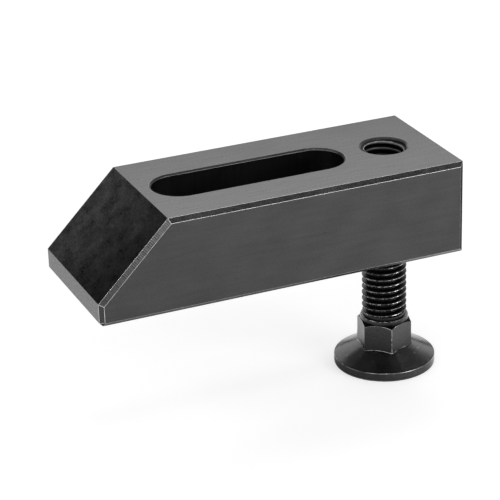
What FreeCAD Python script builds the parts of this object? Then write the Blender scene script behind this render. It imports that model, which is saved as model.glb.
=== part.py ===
import FreeCAD, Part
import math
import os

# A strap clamp: a flat bar with a sloped nose, a long slot for the clamping stud and, near its rear end,
# a tapped hole for the support screw that sets its height. Sizes are in millimetres, Z is up and the nose
# points along -Y. The origin is the middle of the slot on the strap's top face.

# Strap
strap_length = 100.0
strap_width = 40.0
strap_height = 25.0
nose_height = 6.0        # the upright face that is left below the slope
nose_slope_deg = 45.0
side_bevel = 1.1         # runs round the outline of both side faces
toe_bevel = 0.9          # on the lower edge of the nose

# Slot for the clamping stud
slot_width = 15.0
slot_length = 52.2       # from end to end
slot_from_nose = 22.5
slot_bevel = 0.5

# Thread of the support screw and its tapped hole, both plain at the size of the thread's crests and roots
thread_size = 12.0
thread_pitch = 1.75
thread_clearance = 0.05  # all round between the screw and the hole
hole_from_rear = 13.0
countersink_size = 13.0  # the hole's mouth, at both faces

# Support screw, turned and milled from one piece: heights count from the underside of its foot
screw_length = 55.0
foot_size = 27.2
foot_rim_height = 2.4
foot_rim_bevel = 0.3
foot_cone_deg = 25.7     # the foot's upper face rises this steeply towards the hexagon
hexagon_size = 13.0      # across the flats
hexagon_turn_deg = -11.0  # from +X to the nearest corner
hexagon_draft_deg = 2.6  # the lower part widens towards the foot
draft_height = 8.7       # up to here the hexagon widens
hexagon_height = 12.2    # to the corners, below their bevel
hexagon_bevel_deg = 35.0
collar_size = 12.8
collar_height = 14.2
collar_round = 0.7
neck_size = 11.4
neck_height = 15.1       # the thread starts above it
screw_drop = 37.1        # from the strap's underside down to the foot's underside

# Places that follow from these sizes
nose_y = -slot_from_nose - slot_length / 2
rear_y = nose_y + strap_length
hole_y = rear_y - hole_from_rear
foot_z = -strap_height - screw_drop
thread_depth = 0.6134 * thread_pitch
z_axis = FreeCAD.Vector(0, 0, 1)


def point(x, y, z):
    return FreeCAD.Vector(x, y, z)


def turned(outline, y):
    """A solid of revolution about the upright axis through (0, y), from (radius, height) points."""
    wire = Part.makePolygon([point(r, y, z) for r, z in outline + outline[:1]])
    return Part.Face(wire).revolve(point(0, y, 0), z_axis, 360)


def strap_outline():
    """The bar's side view, as a wire in the middle of its width."""
    slope_run = (strap_height - nose_height) / math.tan(math.radians(nose_slope_deg))
    side = [
        (nose_y + toe_bevel, -strap_height),
        (rear_y, -strap_height),
        (rear_y, 0),
        (nose_y + slope_run, 0),
        (nose_y, nose_height - strap_height),
        (nose_y, toe_bevel - strap_height),
    ]
    return Part.makePolygon([point(-strap_width / 2, y, z) for y, z in side + side[:1]])


def bevelled_bar():
    """The bar before its holes, with both side outlines bevelled all the way round."""
    bar = Part.Face(strap_outline()).extrude(point(strap_width, 0, 0))
    on_side = [e for e in bar.Edges if abs(abs(e.CenterOfMass.x) - strap_width / 2) < 1e-6]
    return bar.makeChamfer(side_bevel, on_side)


def slot_wire(width, length, z):
    """A straight slot with round ends, centred on the origin along Y."""
    r = width / 2
    end = length / 2 - r
    right = Part.LineSegment(point(r, -end, z), point(r, end, z))
    rear = Part.Arc(point(r, end, z), point(0, end + r, z), point(-r, end, z))
    left = Part.LineSegment(point(-r, end, z), point(-r, -end, z))
    front = Part.Arc(point(-r, -end, z), point(0, -end - r, z), point(r, -end, z))
    return Part.Wire([piece.toShape() for piece in (right, rear, left, front)])


def slot_cutter():
    """What the slot takes out of the bar, with the bevels of both its rims."""
    wide = slot_width + 2 * slot_bevel
    long = slot_length + 2 * slot_bevel
    through = Part.Face(slot_wire(slot_width, slot_length, -strap_height)).extrude(point(0, 0, strap_height))
    cutter = through
    for face_z, inward in ((0, -1), (-strap_height, 1)):
        rim = slot_wire(wide, long, face_z)
        wall = slot_wire(slot_width, slot_length, face_z + inward * slot_bevel)
        cutter = cutter.fuse(Part.makeLoft([rim, wall], True, True))
    return cutter


def hole_cutter():
    """What the tapped hole and its two countersinks take out of the bar."""
    wall = thread_size / 2 + thread_clearance
    mouth = countersink_size / 2
    depth = mouth - wall
    low = -strap_height
    return turned(
        [(0, low), (mouth, low), (wall, low + depth), (wall, -depth), (mouth, 0), (0, 0)],
        hole_y,
    )


def make_strap():
    return bevelled_bar().cut(slot_cutter()).cut(hole_cutter())


def foot():
    """The round foot: a short upright rim under a flat cone whose point lies inside the hexagon."""
    r = foot_size / 2
    point_height = foot_rim_height + r * math.tan(math.radians(foot_cone_deg))
    return turned(
        [
            (0, foot_z),
            (r - foot_rim_bevel, foot_z),
            (r, foot_z + foot_rim_bevel),
            (r, foot_z + foot_rim_height),
            (0, foot_z + point_height),
        ],
        hole_y,
    )


def hexagon_wire(across_flats, z):
    r = across_flats / math.sqrt(3)
    turns = [math.radians(hexagon_turn_deg + 60 * k) for k in range(7)]
    return Part.makePolygon([point(r * math.cos(a), hole_y + r * math.sin(a), z) for a in turns])


def hexagon():
    """The wrench hexagon, widening a little towards the foot, with its upper corners turned off."""
    low = foot_z + foot_rim_height
    middle = foot_z + draft_height
    top = foot_z + collar_height
    spread = 2 * (middle - low) * math.tan(math.radians(hexagon_draft_deg))
    drafted = Part.makeLoft(
        [hexagon_wire(hexagon_size + spread, low), hexagon_wire(hexagon_size, middle)], True, True
    )
    upright = Part.Face(hexagon_wire(hexagon_size, middle)).extrude(point(0, 0, top - middle))
    corner = hexagon_size / math.sqrt(3)
    reach = corner + spread
    bevel_rise = math.tan(math.radians(hexagon_bevel_deg))
    corner_z = foot_z + hexagon_height
    turned_off = turned(
        [
            (0, low),
            (reach, low),
            (reach, corner_z - (reach - corner) * bevel_rise),
            (0, corner_z + corner * bevel_rise),
        ],
        hole_y,
    )
    return drafted.fuse(upright).common(turned_off)


def shank():
    """Collar, neck and threaded length, with a bevel at the screw's upper end."""
    collar = collar_size / 2
    neck = neck_size / 2
    crest = thread_size / 2
    root = crest - thread_depth
    collar_z = foot_z + collar_height
    neck_z = foot_z + neck_height
    top_z = foot_z + screw_length
    start_rise = crest - neck
    core = turned(
        [
            (0, foot_z + foot_rim_height),
            (neck, foot_z + foot_rim_height),
            (neck, neck_z),
            (crest, neck_z + start_rise),
            (crest, top_z - thread_depth),
            (root, top_z),
            (0, top_z),
        ],
        hole_y,
    )
    ring = Part.makeCylinder(collar, collar_z - foot_z - foot_rim_height, point(0, hole_y, foot_z + foot_rim_height))
    upper_edge = [e for e in ring.Edges if abs(e.CenterOfMass.z - collar_z) < 1e-6]
    return core.fuse(ring.makeFillet(collar_round, upper_edge))


def make_screw():
    return foot().fuse(hexagon()).fuse(shank()).removeSplitter()


def write(name, shape):
    solid = shape.Solids[0]
    print(f"{name}: valid {solid.isValid()}, {len(shape.Solids)} solid, {solid.Volume:.0f} mm3")
    solid.exportStep(f"parts/{name}.step")


os.makedirs("parts", exist_ok=True)
write("clamp_strap", make_strap())
write("support_screw", make_screw())
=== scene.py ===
import math

import bmesh
import bpy
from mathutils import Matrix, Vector


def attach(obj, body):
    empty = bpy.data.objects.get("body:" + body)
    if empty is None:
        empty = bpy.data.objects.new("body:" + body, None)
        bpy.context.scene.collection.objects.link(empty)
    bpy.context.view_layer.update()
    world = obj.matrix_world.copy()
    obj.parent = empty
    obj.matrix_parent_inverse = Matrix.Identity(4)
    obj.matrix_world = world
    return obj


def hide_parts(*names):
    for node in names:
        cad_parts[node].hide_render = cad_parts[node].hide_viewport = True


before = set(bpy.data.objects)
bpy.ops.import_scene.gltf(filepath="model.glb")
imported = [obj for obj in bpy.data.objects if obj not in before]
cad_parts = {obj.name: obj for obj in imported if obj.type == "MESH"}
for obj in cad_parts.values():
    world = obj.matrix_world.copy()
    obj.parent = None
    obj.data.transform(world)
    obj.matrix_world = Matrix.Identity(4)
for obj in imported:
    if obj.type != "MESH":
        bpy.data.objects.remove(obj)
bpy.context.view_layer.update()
mm = 0.001
print("frame loaded:", sorted(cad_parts))


class Wire:
    # one output socket; Python's operators on it add Math nodes to its tree
    def __init__(self, net, socket):
        self.net = net
        self.socket = socket

    def __add__(self, other):
        return self.net.maths("ADD", self, other)

    def __sub__(self, other):
        return self.net.maths("SUBTRACT", self, other)

    def __rsub__(self, other):
        return self.net.maths("SUBTRACT", other, self)

    def __mul__(self, other):
        return self.net.maths("MULTIPLY", self, other)

    def __truediv__(self, other):
        return self.net.maths("DIVIDE", self, other)

    __radd__ = __add__
    __rmul__ = __mul__

    def other(self, name):
        return Wire(self.net, self.socket.node.outputs[name])


class Net:
    # builds one node tree, for a material or for geometry
    def __init__(self, tree):
        self.tree = tree

    def node(self, kind, settings=None, inputs=None, out=0):
        made = self.tree.nodes.new(kind)
        for name, value in (settings or {}).items():
            setattr(made, name, value)
        pairs = inputs.items() if isinstance(inputs, dict) else enumerate(inputs or [])
        for key, value in pairs:
            if isinstance(value, Wire):
                self.tree.links.new(value.socket, made.inputs[key])
            elif value is not None:
                made.inputs[key].default_value = value
        return Wire(self, made.outputs[out]) if len(made.outputs) else None

    def maths(self, operation, *values):
        return self.node("ShaderNodeMath", {"operation": operation}, values)

    def clamped(self, value, low=0.0, high=1.0):
        return self.maths("MINIMUM", self.maths("MAXIMUM", value, low), high)

    def ramp(self, value, low, high):
        # 0 below low, 1 above high, straight between
        return self.clamped((value - low) * (1 / (high - low)))

    def stretched(self, vector, size, turn=0.0):
        # divides by size, along axes that are first turned about X by so many radians
        return self.node("ShaderNodeMapping", {"vector_type": "TEXTURE"},
                         {"Vector": vector, "Rotation": (turn, 0, 0), "Scale": size})

    def noise(self, vector, detail=2.0):
        # smooth noise about zero, mostly within half a unit each way
        made = self.node("ShaderNodeTexNoise", None, {"Vector": vector, "Scale": 1.0, "Detail": detail})
        return (made - 0.5) * 3

    def mixed(self, share, first, second):
        return self.node("ShaderNodeMix", {"data_type": "RGBA"}, {0: share, 6: first, 7: second}, out=2)


# The camera, fitted to the photograph
photoView = {
    "azimuth": 66.94, "elevation": 23.879, "roll": -1.722,
    "distance": 549.48 * mm,
    "target": Vector((3.0, -1.534, -20.341)) * mm,
    "lens": 154.47,
}


def makeCamera(view):
    turn, rise, roll = (math.radians(view[key]) for key in ("azimuth", "elevation", "roll"))
    back = Vector((math.sin(turn) * math.cos(rise), -math.cos(turn) * math.cos(rise), math.sin(rise)))
    level = Vector((math.cos(turn), math.sin(turn), 0))
    level = level * math.cos(roll) + back.cross(level) * math.sin(roll)
    camera = bpy.data.objects.new("photoCamera", bpy.data.cameras.new("photoCamera"))
    bpy.context.scene.collection.objects.link(camera)
    camera.data.lens = view["lens"]
    camera.data.clip_start = 0.01
    camera.data.clip_end = 50
    pose = camera.matrix_world.copy()
    pose.col[0][:3] = level
    pose.col[1][:3] = back.cross(level)
    pose.col[2][:3] = back
    pose.col[3][:3] = view["target"] + back * view["distance"]
    camera.matrix_world = pose
    bpy.context.scene.camera = camera


makeCamera(photoView)

# Floor, soft lamps, and three cards that only reflections see
studio = {
    "floorZ": -62.1 * mm, "floorReach": 6.0, "floorGrey": 0.8,
    "whiteLift": 0.62,       # what makes the lit floor white in the picture and in reflections
    "worldGrey": 0.25,
    # direction from the object, distance and size in metres, radiance
    "lamps": {
        "backSoftbox": ((-0.84, 0.38, 0.42), 1.5, (1.8, 0.9), 0.95),
        "keySoftbox": ((0.54, -0.62, 0.6), 1.2, (0.7, 0.6), 1.0),
        "rightSoftbox": ((0.80, 0.50, 0.36), 1.2, (0.7, 0.5), 3.2),
        # small ones that only the bright edges and corners catch
        "cornerGlint": ((0.45, -0.08, 0.84), 1.2, (0.2, 0.2), 5.0),
        "topGlint": ((-0.32, 0.36, 0.87), 1.2, (0.3, 0.3), 2.5),
        "leftGlint": ((-0.22, -0.70, 0.66), 1.2, (0.25, 0.25), 4.0),
    },
    # middle and size in metres, what it faces, grey
    "cards": {
        "frontCard": ((0.42, 0.34, -0.0618), (0.8, 0.8), (0, 0, 1), 0.85),
        "noseCard": ((-0.36, -0.34, 0.12), (0.42, 0.3), (0.84, 0.41, -0.1), 0.02),
        "shadeCard": ((0.008, -0.022, -0.0616), (0.072, 0.15), (0, 0, 1), 0.95),
    },
    "softEdges": {"shadeCard": 0.7},     # from this share of the way out, a card fades away
}


def seenBackground(net):
    path = net.node("ShaderNodeLightPath")
    seen = net.maths("MAXIMUM", path.other("Is Camera Ray"), path.other("Is Glossy Ray"))
    return net.maths("MAXIMUM", seen, path.other("Is Transmission Ray"))


def plate(name, middle, size, facing, material):
    # a flat sheet of the stage, turned to face the given way
    turned = Vector(facing).to_track_quat("Z", "Y")
    corners = []
    for x, y in ((-1, -1), (1, -1), (1, 1), (-1, 1)):
        fromMiddle = Vector((x * size[0] / 2, y * size[1] / 2, 0))
        corners.append(Vector(middle) + turned @ fromMiddle)
    mesh = bpy.data.meshes.new(name)
    mesh.from_pydata(corners, [], [(0, 1, 2, 3)])
    mesh.materials.append(material)
    thing = placed(name, mesh)
    return thing


def placed(name, mesh):
    thing = bpy.data.objects.new(name, mesh)
    bpy.context.scene.collection.objects.link(thing)
    return thing


def emptyMaterial(name):
    material = bpy.data.materials.new(name)
    material.use_nodes = True
    material.node_tree.nodes.clear()
    return material, Net(material.node_tree)


def makeStudio(values):
    pale, net = emptyMaterial("paleFloor")
    diffuse = net.node("ShaderNodeBsdfDiffuse", None, {"Color": (values["floorGrey"],) * 3 + (1,)})
    white = net.node("ShaderNodeEmission", None, {"Strength": seenBackground(net) * values["whiteLift"]})
    surface = net.node("ShaderNodeAddShader", None, [diffuse, white])
    net.node("ShaderNodeOutputMaterial", None, [surface])
    reach = values["floorReach"]
    plate("floor", (0, 0, values["floorZ"]), (2 * reach, 2 * reach), (0, 0, 1), pale)

    for name, (middle, size, facing, grey) in values["cards"].items():
        paper, net = emptyMaterial(name)
        surface = net.node("ShaderNodeBsdfDiffuse", None, {"Color": (grey, grey, grey, 1)})
        if name in values["softEdges"]:
            away = net.node("ShaderNodeVectorMath", {"operation": "SUBTRACT"},
                            [net.node("ShaderNodeTexCoord", out="Object"), middle])
            share = net.node("ShaderNodeVectorMath", {"operation": "DIVIDE"},
                             [away, (size[0] / 2, size[1] / 2, 1)])
            outward = net.node("ShaderNodeVectorMath", {"operation": "LENGTH"}, [share], out="Value")
            faded = net.ramp(outward, values["softEdges"][name], 1.0)
            clear = net.node("ShaderNodeBsdfTransparent")
            surface = net.node("ShaderNodeMixShader", None, [faded, surface, clear])
        net.node("ShaderNodeOutputMaterial", None, [surface])
        card = plate(name, middle, size, facing, paper)
        card.visible_camera = False
        card.visible_diffuse = False
        card.visible_shadow = False

    world = bpy.data.worlds.new("softWorld")
    bpy.context.scene.world = world
    world.use_nodes = True
    world.node_tree.nodes["Background"].inputs["Color"].default_value = (values["worldGrey"],) * 3 + (1,)

    for name, (direction, distance, size, radiance) in values["lamps"].items():
        lamp = bpy.data.lights.new(name, "AREA")
        lamp.shape = "RECTANGLE"
        lamp.size, lamp.size_y = size
        lamp.energy = radiance * math.pi * size[0] * size[1]
        holder = placed(name, lamp)
        toLamp = Vector(direction).normalized()
        holder.location = photoView["target"] + toLamp * distance
        holder.rotation_euler = toLamp.to_track_quat("Z", "Y").to_euler()
        holder.visible_camera = False


bpy.context.scene.view_settings.view_transform = "Standard"
makeStudio(studio)
print("camera, floor and lamps made")


# Black oxidised steel: lengths in millimetres, strengths as shares of the grey
plainFinish = {
    "grey": 0.14, "tint": (1.0, 1.0, 1.0, 1),
    "blotchSize": 9.0, "blotch": 0.25,
    "streakSize": (0.6, 14.0, 0.6), "streakTurn": 0.0, "streak": 0.2,
    "grainSize": 0.35, "grain": 0.25,
    "speckSize": 1.6, "speckShare": 0.035, "speckEdge": 2.5, "speck": -0.6,
    "ringWander": 0.3,
    # painted light and shade: how much lighter it gets for each millimetre along X, Y and Z, counted from a
    # point
    "paintedLightLean": (0.0, 0.0, 0.0), "paintedLightFrom": (0.0, 0.0, 0.0),
    "roughness": 0.36, "roughSpread": 0.12,
    "bump": 0.004, "bumpGrain": 0.6, "bumpBlotch": 0.5,
    "metallic": 0.88, "edgeTint": 1.0,
    # lowest and highest of the marks' share, the painted light's lean, the grey and the roughness
    "marksRange": (0.1, 2.5), "paintedLightRange": (0.1, 2.0), "greyRange": (0.004, 1.0), "roughRange": (0.12, 0.9),
}


def steel(name, changes=None, pattern="milled", wornAndShaded=None):
    look = {**plainFinish, **(changes or {})}
    material = bpy.data.materials.new(name)
    material.use_nodes = True
    shader = material.node_tree.nodes["Principled BSDF"]
    net = Net(material.node_tree)
    metres = net.node("ShaderNodeTexCoord", out="Object")
    spot = net.stretched(metres, (mm,) * 3)
    blotch = net.noise(net.stretched(spot, (look["blotchSize"],) * 3), 4.0)
    if pattern == "turned":
        # rings round the screw's axis
        split = net.node("ShaderNodeSeparateXYZ", None, [spot])
        across, ahead = split, split.other("Y") - look["axisY"]
        reach = net.maths("SQRT", across * across + ahead * ahead)
        ringPlace = [reach * look["ringScale"], blotch * look["ringWander"],
                     split.other("Z") * look["ringScale"]]
        marks = net.node("ShaderNodeCombineXYZ", None, ringPlace)
    else:
        marks = net.stretched(spot, look["streakSize"], look["streakTurn"])
    streak = net.noise(marks, 3.0)
    if "hatch" in look:
        # even cutter marks, one for each streak size along the turned Y axis
        rows = net.node("ShaderNodeSeparateXYZ", None, [marks]).other("Y")
        streak = streak + net.maths("SINE", rows * math.tau) * look["hatch"]
    grain = net.noise(net.stretched(spot, (look["grainSize"],) * 3), 2.0)
    cells = net.node("ShaderNodeTexVoronoi", None, {"Vector": spot, "Scale": 1 / look["speckSize"]},
                     out="Distance")
    speck = 1 - net.ramp(cells, look["speckShare"], look["speckShare"] * look["speckEdge"])
    marked = 1 + blotch * look["blotch"] + streak * look["streak"]
    marked = marked + grain * look["grain"] + speck * look["speck"]
    level = net.clamped(marked, *look["marksRange"]) * look["grey"]
    rough = look["roughness"] + blotch * look["roughSpread"] + streak * look["roughSpread"] * 0.5
    if wornAndShaded:
        # 1 is rubbed bright, partly a painted highlight, and below 0 is darkened with painted shade:
        # the piece's own attribute says it, or in a tapped hole the distance from its axis
        if "crestReach" in wornAndShaded:
            wearAndPaintedLight = 1 - (reach - wornAndShaded["crestReach"]) * (1 / wornAndShaded["crestDepth"])
        else:
            wearAndPaintedLight = net.node("ShaderNodeAttribute", {"attribute_name": "wearAndPaintedLight"}, out="Fac")
        broken = net.noise(net.stretched(spot, (wornAndShaded["size"],) * 3), 3.0)
        bareAndHighlight = net.ramp(wearAndPaintedLight + broken * wornAndShaded["broken"], wornAndShaded["from"], 1.0)
        level = level + bareAndHighlight * (wornAndShaded["grey"] - look["grey"])
        paintedShade = net.ramp(wearAndPaintedLight * -1, wornAndShaded["paintedShadeFrom"], wornAndShaded["paintedShadeFull"])
        level = level * (1 - paintedShade * wornAndShaded["paintedShadeDark"])
    # painted light and shade: the grey gets lighter or darker along the lean's direction
    if any(look["paintedLightLean"]):
        along = net.node("ShaderNodeVectorMath", {"operation": "DOT_PRODUCT"}, [spot, look["paintedLightLean"]],
                         out="Value")
        start = Vector(look["paintedLightLean"]).dot(look["paintedLightFrom"])
        level = level * net.clamped(1 + along - start, *look["paintedLightRange"])
    level = net.clamped(level, *look["greyRange"])
    net.tree.links.new(net.mixed(level, (0, 0, 0, 1), look["tint"]).socket, shader.inputs["Base Color"])
    net.tree.links.new(net.clamped(rough, *look["roughRange"]).socket, shader.inputs["Roughness"])
    shader.inputs["Metallic"].default_value = look["metallic"]
    shader.inputs["Specular Tint"].default_value = (look["edgeTint"],) * 3 + (1,)
    height = streak + grain * look["bumpGrain"] + blotch * look["bumpBlotch"]
    bump = net.node("ShaderNodeBump", None,
                    {"Height": height, "Distance": look["bump"] * mm, "Strength": 1.0})
    net.tree.links.new(bump.socket, shader.inputs["Normal"])
    return material


def skinned(name, rings, wearAndPaintedLight=None):
    # a skin over rings of points in millimetres, all of the same count
    count = len(rings[0])
    faces = []
    for k in range(len(rings) - 1):
        for i in range(count):
            j = (i + 1) % count
            faces.append((k * count + i, k * count + j, (k + 1) * count + j, (k + 1) * count + i))
    mesh = bpy.data.meshes.new(name)
    mesh.from_pydata([Vector(p) * mm for ring in rings for p in ring], [], faces)
    if wearAndPaintedLight:
        wornAndShaded = mesh.attributes.new("wearAndPaintedLight", "FLOAT", "POINT")
        wornAndShaded.data.foreach_set("value", [w for row in wearAndPaintedLight for w in row])
    return mesh


def welded(meshes, name, closeEnds=True):
    # one mesh of all of them, doubles merged, open ends closed, faces outwards
    shape = bmesh.new()
    for mesh in meshes:
        shape.from_mesh(mesh)
    bmesh.ops.remove_doubles(shape, verts=shape.verts, dist=1e-6)
    if closeEnds:
        bmesh.ops.holes_fill(shape, edges=[e for e in shape.edges if e.is_boundary], sides=0)
    bmesh.ops.recalc_face_normals(shape, faces=shape.faces)
    result = bpy.data.meshes.new(name)
    shape.to_mesh(result)
    shape.free()
    return result


def applied(thing):
    # works the object's modifiers into its mesh
    graph = bpy.context.evaluated_depsgraph_get()
    mesh = bpy.data.meshes.new_from_object(thing.evaluated_get(graph), preserve_all_data_layers=True,
                                           depsgraph=graph)
    thing.modifiers.clear()
    thing.data = mesh
    return thing


def cutAway(thing, toolMesh):
    tool = placed("cutter", toolMesh)
    boolean = thing.modifiers.new("cut", "BOOLEAN")
    boolean.operation = "DIFFERENCE"
    boolean.solver = "EXACT"
    boolean.material_mode = "TRANSFER"
    boolean.object = tool
    applied(thing)
    bpy.data.objects.remove(tool)


def shaded(thing, degrees=32):
    # smooth over small angles only, and flat faces stay flat beside their rounded edges
    thing.data.shade_smooth()
    thing.data.set_sharp_from_angle(angle=math.radians(degrees))
    evenOut = thing.modifiers.new("evenOut", "WEIGHTED_NORMAL")
    evenOut.weight = 100
    evenOut.keep_sharp = True
    applied(thing)


def circle(radius, y, z, count=96):
    turns = [math.tau * k / count for k in range(count)]
    return [(radius * math.cos(a), y + radius * math.sin(a), z) for a in turns]


# The thread's skin, for the screw and for the tap that cuts the strap's hole
thread = {
    "Pitch": 1.75, "Crest Radius": 5.99, "Root Radius": 4.93, "Rounding": 0.3, "Start": 0.85,
    "Rows Per Turn": 20, "Columns": 84,
}
flankSlope = math.sqrt(3)    # a 60 degree thread
# from where in the thread's depth its crest is rubbed bright, partly a painted highlight, where fully, and
# how much
crestWearAndSheen = {"from": 0.88, "full": 0.97, "share": 0.78}


def threadTree():
    tree = bpy.data.node_groups.new("turnedThread", "GeometryNodeTree")
    names = {
        "NodeSocketFloat": ("Pitch", "Start", "Crest Radius", "Root Radius", "Rounding",
                            "End Radius", "Run Out", "Bottom", "Top", "Axis Y"),
        "NodeSocketInt": ("Rows Per Turn", "Columns"),
        "NodeSocketMaterial": ("Finish",),
    }
    inputs = {}
    for kind, labels in names.items():
        for label in labels:
            made = tree.interface.new_socket(name=label, in_out="INPUT", socket_type=kind)
            inputs[label] = made.identifier
    tree.interface.new_socket(name="Geometry", in_out="OUTPUT", socket_type="NodeSocketGeometry")

    net = Net(tree)
    given = net.node("NodeGroupInput")
    crest, root, end = (given.other(n) for n in ("Crest Radius", "Root Radius", "End Radius"))
    pitch, bottom, top, perTurn = (given.other(n) for n in ("Pitch", "Bottom", "Top", "Rows Per Turn"))
    rows = net.maths("CEIL", ((top - bottom) / pitch + 1) * perTurn) + 1
    grid = net.node("GeometryNodeMeshGrid", None, [1.0, 1.0, rows, given.other("Columns") + 1])
    place = net.node("ShaderNodeSeparateXYZ", None, [net.node("GeometryNodeInputPosition")])
    turn = place.other("Y") + 0.5
    row = (place.other("X") + 0.5) * (rows - 1)
    # the rows climb with the helix, so crest and root each lie along them
    height = net.clamped(bottom - pitch + pitch * (row / perTurn + turn), bottom, top)
    aboveZero = 100.5      # half a pitch, and enough whole ones to keep the fraction positive
    part = net.maths("FRACT", (height - given.other("Start")) / pitch - turn + aboveZero)
    fromCrest = net.maths("ABSOLUTE", part - 0.5) * pitch
    # the crest is flat over an eighth of the pitch
    flank = crest - (fromCrest - pitch / 16) * flankSlope
    radius = net.maths("SMOOTH_MIN", flank, crest, given.other("Rounding"))
    radius = net.maths("SMOOTH_MAX", radius, root, given.other("Rounding"))
    depth = (radius - root) / (crest - root)
    # above 0 on the crest, where the oxide is rubbed off and a highlight is painted, and down to -1 at the
    # root, where painted shade darkens the groove
    wearAndPaintedLight = depth - 1 + net.ramp(depth, crestWearAndSheen["from"], crestWearAndSheen["full"]) * crestWearAndSheen["share"]
    radius = net.maths("MAXIMUM", radius, end - (height - bottom) * given.other("Run Out"))
    radius = net.maths("MINIMUM", net.maths("MINIMUM", radius, end + height - bottom), root + top - height)
    angle = turn * math.tau
    across = radius * net.maths("COSINE", angle)
    ahead = radius * net.maths("SINE", angle) + given.other("Axis Y")
    spot = net.node("ShaderNodeCombineXYZ", None, [across, ahead, height])
    marked = net.node("GeometryNodeStoreNamedAttribute", {"data_type": "FLOAT", "domain": "POINT"},
                      {"Geometry": grid, "Name": "wearAndPaintedLight", "Value": wearAndPaintedLight})
    bent = net.node("GeometryNodeSetPosition", None, {"Geometry": marked, "Position": spot})
    merged = net.node("GeometryNodeMergeByDistance", None, {"Geometry": bent, "Distance": 0.002 * mm})
    real = net.node("GeometryNodeRealizeInstances", None, {"Geometry": merged})
    finished = net.node("GeometryNodeSetMaterial", None,
                        {"Geometry": real, "Material": given.other("Finish")})
    net.node("NodeGroupOutput", None, [finished])
    return tree, inputs


turnedThread, threadInputs = threadTree()


def threadMesh(name, changes):
    thing = placed(name, bpy.data.meshes.new(name))
    modifier = thing.modifiers.new("thread", "NODES")
    modifier.node_group = turnedThread
    for label, value in {**thread, **changes}.items():
        isLength = label not in ("Run Out", "Rows Per Turn", "Columns", "Finish")
        modifier[threadInputs[label]] = value * mm if isLength else value
    mesh = applied(thing).data
    bpy.data.objects.remove(thing)
    return mesh


axisY = 38.4    # where the screw and its tapped hole stand

# The support screw; heights count from the underside of its foot
screw = {
    "footZ": -62.1, "length": 55.0,
    "footRadius": 13.6, "rimHeight": 2.4, "coneDeg": 25.7,
    "halfFlats": 6.5, "draftDeg": 2.6, "draftHeight": 8.7, "turnDeg": -11.0, "cornerRound": 0.25,
    "cornerHeight": 12.2, "bevelDeg": 35.0,
    "collarRadius": 6.4, "collarHeight": 14.2,
    "neckRadius": 5.7, "neckHeight": 15.1, "neckJoin": 0.15, "runOut": 1.25,
    # degrees off the middle of a flat, closer together where the corner is rounded
    "columns": (-30, -29.4, -28.8, -27, -24, -20, -15, -10, -5, 0, 5, 10, 15, 20, 24, 27, 28.8, 29.4),
    "cornerFrom": 29,
    # the side line's knots, from the foot's lower edge up to the neck: how far each is rounded, and its wear
    # and painted light before, at and after; 1 is bright: rubbed wear on edges, a painted highlight on the
    # collar's round;
    # below 0 is painted shade, on the shoulder and the neck
    "knotRounds": (0.35, 0.2, 0.15, 0.5, 0.16, 0.2, 0.7, 0.02),
    "knotWearAndPaintedLight": ((0.3, 0.7, 0.3), (0.4, 1.0, 0.4), (0.4, 0.95, 0.4), (0.0, 0.0, 0.0),
                 (0.4, 1.0, -0.3), (-0.4, -0.4, -0.3), (0.3, 0.95, 0.4), (-0.3, -0.3, -0.3)),
    # how bright each corner's line is: rubbed wear and a painted highlight
    "cornerWearAndGlint": (0.95, 0.7, 0.85, 0.5, 0.9, 0.3),     # one for each corner of the hexagon
    "turned": {"grey": 0.08, "roughness": 0.17, "blotchSize": 5.0, "blotch": 0.3, "streak": 0.45,
               "ringScale": 3.5, "axisY": axisY, "grain": 0.25, "speckSize": 2.2, "speckShare": 0.03,
               "speck": 0.8, "bump": 0.006},
    # painted shade: the hexagon's flats get darker towards the foot
    "flats": {"grey": 0.07, "roughness": 0.25, "bump": 0.003,
              "paintedLightLean": (0.0, 0.0, 0.15), "paintedLightFrom": (0.0, 0.0, -54.3)},
    # bright parts, rubbed wear and painted highlight alike, and the painted shade below 0
    "wearAndPaintedLight": {"size": 1.0, "broken": 0.6, "from": 0.7, "grey": 0.5,
             "paintedShadeFrom": 0.02, "paintedShadeFull": 0.3, "paintedShadeDark": 0.85},
    # the grey of the flats' bright lines: rubbed wear and painted highlight
    "flatsWearAndGlint": {"grey": 0.6},
}
arcPoints = 4    # points on the arc that rounds a knot


def rounded(knots, radii):
    # each inner knot of an open line becomes an arc, inside the nearer halves of the sides it joins
    mostOfSide = 0.45
    line = [knots[0]]
    for before, here, after, radius in zip(knots, knots[1:], knots[2:], radii):
        a, p, b = Vector(before), Vector(here), Vector(after)
        reach = min(radius, mostOfSide * (a - p).length, mostOfSide * (b - p).length)
        start = p + (a - p).normalized() * reach
        stop = p + (b - p).normalized() * reach
        for k in range(arcPoints):
            t = k / (arcPoints - 1)
            line.append(tuple(start * (1 - t) ** 2 + p * 2 * t * (1 - t) + stop * t ** 2))
    line.append(knots[-1])
    return line


def hexagonReach(half, aside, cornerRound):
    # how far a hexagon of this half width reaches, aside radians off the middle of a flat
    toCorner = math.radians(30)
    if aside < math.atan((half - cornerRound) * math.tan(toCorner) / half):
        return half / math.cos(aside)
    centre = (half - cornerRound) / math.cos(toCorner)
    return centre * math.cos(toCorner - aside) + math.sqrt(
        cornerRound ** 2 - (centre * math.sin(toCorner - aside)) ** 2)


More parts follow.
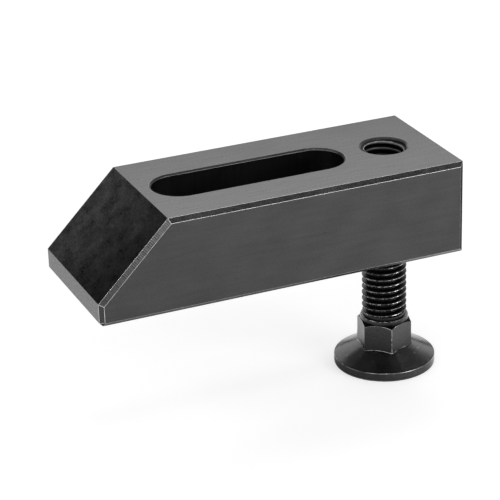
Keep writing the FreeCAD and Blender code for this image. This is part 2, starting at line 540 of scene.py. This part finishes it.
def screwSide(values, aside, cornerWearAndGlint):
    # the screw's side line below its thread, aside radians off the middle of a flat, and its wear and
    # painted light
    corner = values["halfFlats"] / math.cos(math.radians(30))
    fall, draft, bevel = (math.tan(math.radians(values[key])) for key in ("coneDeg", "draftDeg", "bevelDeg"))
    foot, rim = values["footRadius"], values["rimHeight"]
    collar, neck, top = values["collarRadius"], values["neckRadius"], values["collarHeight"]

    def reachAt(z):
        half = values["halfFlats"] + max(0.0, values["draftHeight"] - z) * draft
        return hexagonReach(half, abs(aside), values["cornerRound"])

    low = rim + foot * fall / 2
    for _ in range(6):
        # closes in on the height at which the hexagon runs out into the cone
        low = rim + (foot - reachAt(low)) * fall
    high = values["cornerHeight"] + (corner - reachAt(values["draftHeight"])) * bevel
    shoulder = values["cornerHeight"] + (corner - collar) * bevel
    end = values["neckHeight"] - values["neckJoin"]
    knots = [(0.0, 0.0), (foot, 0.0), (foot, rim), (reachAt(low), low),
             (reachAt(high), values["draftHeight"]), (reachAt(high), high),
             (collar, shoulder), (collar, top), (neck, top), (neck, end)]
    wearAndPaintedLight = [0.0]
    for before, at, after in values["knotWearAndPaintedLight"]:
        wearAndPaintedLight += [before, at, at, after]
    wearAndPaintedLight.append(0.0)
    if abs(aside) > math.radians(values["cornerFrom"]):
        # a corner's line is rubbed bright, with a painted highlight, from the middle of the fillet's arc to
        # the middle of the upper bevel's
        filletKnot, bevelKnot, middle = 3, 5, arcPoints // 2 + 1
        for k in range(arcPoints * (filletKnot - 1) + middle, arcPoints * (bevelKnot - 1) + middle):
            wearAndPaintedLight[k] = cornerWearAndGlint
    return rounded(knots, values["knotRounds"]), wearAndPaintedLight


def screwBodyMesh(values):
    columns, wearAndPaintedLight = [], []
    for side in range(6):
        for aside in values["columns"]:
            turn = math.radians(values["turnDeg"] + 30 + 60 * side + aside)
            corner = side if aside < 0 else (side + 1) % 6
            line, wornAndShaded = screwSide(values, math.radians(aside), values["cornerWearAndGlint"][corner])
            columns.append([(r * math.cos(turn), axisY + r * math.sin(turn), values["footZ"] + z)
                            for r, z in line])
            wearAndPaintedLight.append(wornAndShaded)
    mesh = skinned("screwBody", list(zip(*columns)), list(zip(*wearAndPaintedLight)))
    flats = range(arcPoints * 3, arcPoints * 4 + 1)     # rows of faces, from the fillet to the upper bevel
    for index, face in enumerate(mesh.polygons):
        face.material_index = 1 if index // len(columns) in flats else 0
    return mesh


def makeScrew(values):
    turned = steel("turnedOxide", values["turned"], "turned", values["wearAndPaintedLight"])
    flats = steel("hexagonOxide", values["flats"], "milled", {**values["wearAndPaintedLight"], **values["flatsWearAndGlint"]})
    join = values["footZ"] + values["neckHeight"]
    threaded = threadMesh("screwThread", {
        "End Radius": values["neckRadius"], "Run Out": values["runOut"], "Bottom": join,
        "Top": values["footZ"] + values["length"], "Axis Y": axisY, "Finish": turned})
    body = welded([screwBodyMesh(values), threaded], "supportScrewTurned", closeEnds=False)
    shape = bmesh.new()
    shape.from_mesh(body)
    # the two open loops at the neck are bridged, and the screw's upper end is closed
    openEdges = [e for e in shape.edges if e.is_boundary]
    atNeck = [e for e in openEdges if e.verts[0].co.z < (join + values["neckJoin"]) * mm]
    bmesh.ops.bridge_loops(shape, edges=atNeck)
    bmesh.ops.holes_fill(shape, edges=[e for e in shape.edges if e.is_boundary], sides=0)
    bmesh.ops.recalc_face_normals(shape, faces=shape.faces)
    shape.to_mesh(body)
    shape.free()
    for material in (turned, flats):
        body.materials.append(material)
    piece = placed("supportScrewTurned", body)
    shaded(piece)
    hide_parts("support_screw")
    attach(piece, "screw")
    print("support screw:", len(piece.data.polygons), "faces")


# The strap, milled from one bar
strap = {
    "length": 100.0, "width": 40.0, "height": 25.0, "noseY": -48.6, "noseHeight": 6.0,
    "sideBevel": 1.1, "toeBevel": 0.9,
    "slotWidth": 15.0, "slotLength": 52.2, "slotBevel": 0.5,
    "mouthRadius": 6.5, "mouthDepth": 0.45, "drillRadius": 5.0, "drillDepth": 0.75,
    "tapCrest": 6.05, "tapRoot": 5.13, "tapRunOut": 10.0,
    "cutOver": 1.0, "tapOver": 1.5,     # how far the cutters and the tap stand out of the bar
    "edgeRound": 0.24, "edgeSegments": 2, "edgeFromDeg": 25,
    "rimReach": 1.0,         # what lies this near to the slot or the hole is its rim
    # painted highlight: the edges this near to a corner get the brightest grey, partly knocked wear
    "brightCorner": 1.4,     # this near to a corner the edges are knocked bright
    "finishes": {
        # painted light: the leans make the top lighter towards the front and darker towards the rear, the
        # sides lighter towards the rear, the slope darker towards the front, and the slope's bevel lighter
        # upwards
        "top": {"grey": 0.138, "roughness": 0.34, "streakSize": (0.8, 9.0, 0.8), "streak": 0.34,
                "blotchSize": 14.0, "blotch": 0.35, "grain": 0.45, "speckSize": 2.6,
                "paintedLightLean": (0.009, -0.0024, 0.0)},
        "side": {"grey": 0.141, "roughness": 0.36, "streakSize": (1.0, 16.0, 1.2), "streak": 0.1,
                 "blotch": 0.1, "grain": 0.15, "paintedLightLean": (0.0, 0.001, 0.0)},
        "slope": {"grey": 0.14, "roughness": 0.34, "blotchSize": 4.0, "blotch": 0.13,
                  "streakSize": (1.2, 0.5, 0.5), "streak": 0.24, "grainSize": 0.6, "grain": 0.5,
                  "speckSize": 1.8, "speckShare": 0.05, "speck": 0.5, "paintedLightLean": (-0.03, 0.0, 0.004)},
        "nose": {"grey": 0.13, "roughness": 0.36, "blotchSize": 1.8, "blotch": 0.4,
                 "streakSize": (0.7, 0.7, 4.0), "streak": 0.4, "grainSize": 0.6, "grain": 0.8},
        # painted shade: the bevels darker than the faces beside them
        "bevel": {"grey": 0.1, "roughness": 0.38, "streakSize": (0.8, 0.9, 0.8), "streak": 0.4,
                  "grain": 0.7},
        "noseBevel": {"grey": 0.06, "roughness": 0.38, "grain": 0.2},
        # painted shade: the upright rear bevels darker, and their reflections dimmed
        "rearBevel": {"grey": 0.035, "roughness": 0.38, "grain": 0.2, "edgeTint": 0.25},
        "slopeBevel": {"grey": 0.14, "roughness": 0.36, "streakSize": (5.0, 0.55, 5.0),
                       "streakTurn": math.radians(45), "streak": 0.6, "hatch": 0.6, "bump": 0.01,
                       "paintedLightLean": (0.0, 0.0, 0.035), "paintedLightFrom": (0.0, 0.0, -8.0)},
        # painted shade: the slot's walls much darker than the faces
        "slotWall": {"grey": 0.014, "roughness": 0.55, "streakSize": (0.8, 0.8, 10.0)},
        "mouth": {"grey": 0.12, "roughness": 0.3, "axisY": axisY, "ringScale": 2.5, "streak": 0.9,
                  "blotchSize": 3.0, "blotch": 0.6},
        # painted shade in the hole: a darker grey, darker still further down, and dimmed reflections
        "bore": {"grey": 0.032, "roughness": 0.36, "axisY": axisY, "ringScale": 2.5, "streak": 0.8,
                 "metallic": 0.6, "edgeTint": 0.3, "paintedLightLean": (0.0, 0.0, 0.4), "paintedLightFrom": (0.0, 0.0, -1.2)},
        # the bright edges: rubbed wear and a painted highlight
        "edge": {"grey": 0.95, "roughness": 0.3, "blotchSize": 1.5, "blotch": 0.3, "grain": 0.3,
                 "speckSize": 2.0, "speckShare": 0.16, "speck": 0.6},
        # painted highlight on the corners, partly knocked wear
        "cornerEdge": {"grey": 1.0, "roughness": 0.3, "blotch": 0.0, "grain": 0.0, "speck": 0.0},
        "quietEdge": {"grey": 0.16, "roughness": 0.36},
        # the rims of the slot: a lighter line, partly a painted highlight
        "rimEdge": {"grey": 0.35, "roughness": 0.34, "blotchSize": 2.0, "blotch": 0.4},
    },
    # the hole's thread: crests bright, partly a painted highlight, and grooves darkened with painted shade
    "boreWearAndPaintedLight": {"size": 2.0, "broken": 0.9, "from": 0.7, "grey": 0.42, "crestReach": 5.25,
                 "crestDepth": 0.25, "paintedShadeFrom": 0.02, "paintedShadeFull": 0.8, "paintedShadeDark": 0.85},
}


def inset(outline, distance):
    # the outline moved inwards, with mitred corners; it runs anticlockwise
    made = []
    for k, here in enumerate(outline):
        here = Vector(here)
        into = (here - Vector(outline[k - 1])).normalized()
        out = (Vector(outline[(k + 1) % len(outline)]) - here).normalized()
        inward = Vector((-into.y, into.x))
        middle = (inward + Vector((-out.y, out.x))).normalized()
        made.append(tuple(here + middle * (distance / middle.dot(inward))))
    return made


def barRings(values):
    # the side outline four times across the bar, smaller where its bevels end
    nose, rear, low = values["noseY"], values["noseY"] + values["length"], -values["height"]
    run = values["height"] - values["noseHeight"]
    toe = values["toeBevel"]
    outline = [(nose + toe, low), (rear, low), (rear, 0), (nose + run, 0),
               (nose, values["noseHeight"] + low), (nose, low + toe)]
    half, bevel = values["width"] / 2, values["sideBevel"]
    small = inset(outline, bevel)
    across = ((-half, small), (bevel - half, outline), (half - bevel, outline), (half, small))
    return [[(x, y, z) for y, z in line] for x, line in across]


def slotRing(values, grow, z, count=40):
    radius = values["slotWidth"] / 2 + grow
    end = (values["slotLength"] - values["slotWidth"]) / 2
    ring = []
    for side, start in ((1, 0.0), (-1, math.pi)):
        for k in range(count + 1):
            a = start + math.pi * k / count
            ring.append((radius * math.cos(a), side * end + radius * math.sin(a), z))
    return ring


def slotCutter(values):
    low, bevel, over = -values["height"], values["slotBevel"], values["cutOver"]
    side = [(bevel + over, over), (0, -bevel), (0, low + bevel), (bevel + over, low - over)]
    rings = [slotRing(values, grow, z) for grow, z in side]
    return welded([skinned("slotCutter", rings)], "slotCutter")


def holeCutter(values):
    # above, a short steep countersink and a flat one; below, a full one that the screw's neck can enter
    low, over = -values["height"], values["cutOver"]
    mouth, step, wall = values["mouthRadius"], values["mouthDepth"], values["drillRadius"]
    upper = [(mouth + over, over), (mouth - step, -step), (wall, -values["drillDepth"])]
    lower = [(wall, low + mouth - wall), (mouth + over, low - over)]
    rings = [circle(r, axisY, z) for r, z in upper + lower]
    return welded([skinned("holeCutter", rings)], "holeCutter")


def rimOf(spot, values):
    # which finish the rim has that this spot lies on, if it lies on one
    near = values["rimReach"]
    if abs(spot.x) < values["slotWidth"] / 2 + near and abs(spot.y) < values["slotLength"] / 2 + near:
        return "rimEdge"
    if math.hypot(spot.x, spot.y - axisY) < values["mouthRadius"] + near:
        return "mouth"
    return None


def finishOf(face, values):
    # which finish a face of the strap gets, by where it lies and which way it looks; the darker greys of the
    # bevels, the slot's walls and the bore are painted shade
    mainly, partly, hardly, level = 0.9, 0.4, 0.1, 0.99
    spot, n = face.center / mm, face.normal
    fromHole = math.hypot(spot.x, spot.y - axisY)
    if fromHole < values["mouthRadius"] and abs(n.z) < level:
        return "bore" if fromHole < values["mouthRadius"] - values["mouthDepth"] else "mouth"
    if rimOf(spot, values) == "rimEdge" and abs(n.z) < mainly:
        return "slotWall" if abs(n.z) < hardly else "bevel"
    if n.y < -partly and abs(n.x) > hardly:
        return "slopeBevel" if n.z > partly else "noseBevel"
    if abs(n.x) > mainly or n.y > mainly:
        return "side"
    if abs(n.x) > partly and n.y > partly:
        return "rearBevel"
    if abs(n.z) > mainly:
        return "top"
    if n.y < -mainly:
        return "nose"
    return "slope" if abs(n.x) < hardly and n.z > partly else "bevel"


def edgeFinishOf(face, corners, values):
    # edges that run across the strap keep their oxide; its corners get a painted highlight beside their
    # knocked wear, its upright rear edges a painted shade, and the other edges are rubbed bright with a
    # painted highlight
    hardly, partly = 0.05, 0.3
    rim = rimOf(face.center / mm, values)
    if rim:
        return rim
    if abs(face.normal.x) < hardly:
        return "quietEdge"
    if min((face.center - corner).length for corner in corners) < values["brightCorner"] * mm:
        return "cornerEdge"
    upright = abs(face.normal.z) < partly
    return "rearBevel" if upright and face.normal.y > partly else "edge"


def makeStrap(values):
    finishes = values["finishes"]
    names = list(finishes)
    rings = barRings(values)
    corners = [Vector(spot) * mm for ring in rings for spot in ring]
    bar = placed("clampStrapMilled", welded([skinned("bar", rings)], "bar"))
    cutAway(bar, slotCutter(values))
    cutAway(bar, holeCutter(values))
    bar.data.materials.clear()
    for name, finish in finishes.items():
        pattern = "turned" if "axisY" in finish else "milled"
        wornAndShaded = values["boreWearAndPaintedLight"] if name == "bore" else None
        bar.data.materials.append(steel(name + "Oxide", finish, pattern, wornAndShaded))
    for face in bar.data.polygons:
        face.material_index = names.index(finishOf(face, values))
    bevel = bar.modifiers.new("edges", "BEVEL")
    bevel.width = values["edgeRound"] * mm
    bevel.segments = values["edgeSegments"]
    bevel.limit_method = "ANGLE"
    bevel.angle_limit = math.radians(values["edgeFromDeg"])
    bevel.material = names.index("edge")
    applied(bar)
    for face in bar.data.polygons:
        if face.material_index == names.index("edge"):
            face.material_index = names.index(edgeFinishOf(face, corners, values))
    tap = welded([threadMesh("tap", {
        "Crest Radius": values["tapCrest"], "Root Radius": values["tapRoot"],
        "End Radius": values["tapCrest"], "Run Out": values["tapRunOut"],
        "Bottom": -values["height"] - values["tapOver"], "Top": values["tapOver"], "Axis Y": axisY})], "tap")
    tap.materials.append(bar.data.materials["boreOxide"])
    cutAway(bar, tap)
    shaded(bar)
    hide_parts("clamp_strap")
    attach(bar, "strap")
    print("strap:", len(bar.data.polygons), "faces")


makeScrew(screw)
makeStrap(strap)
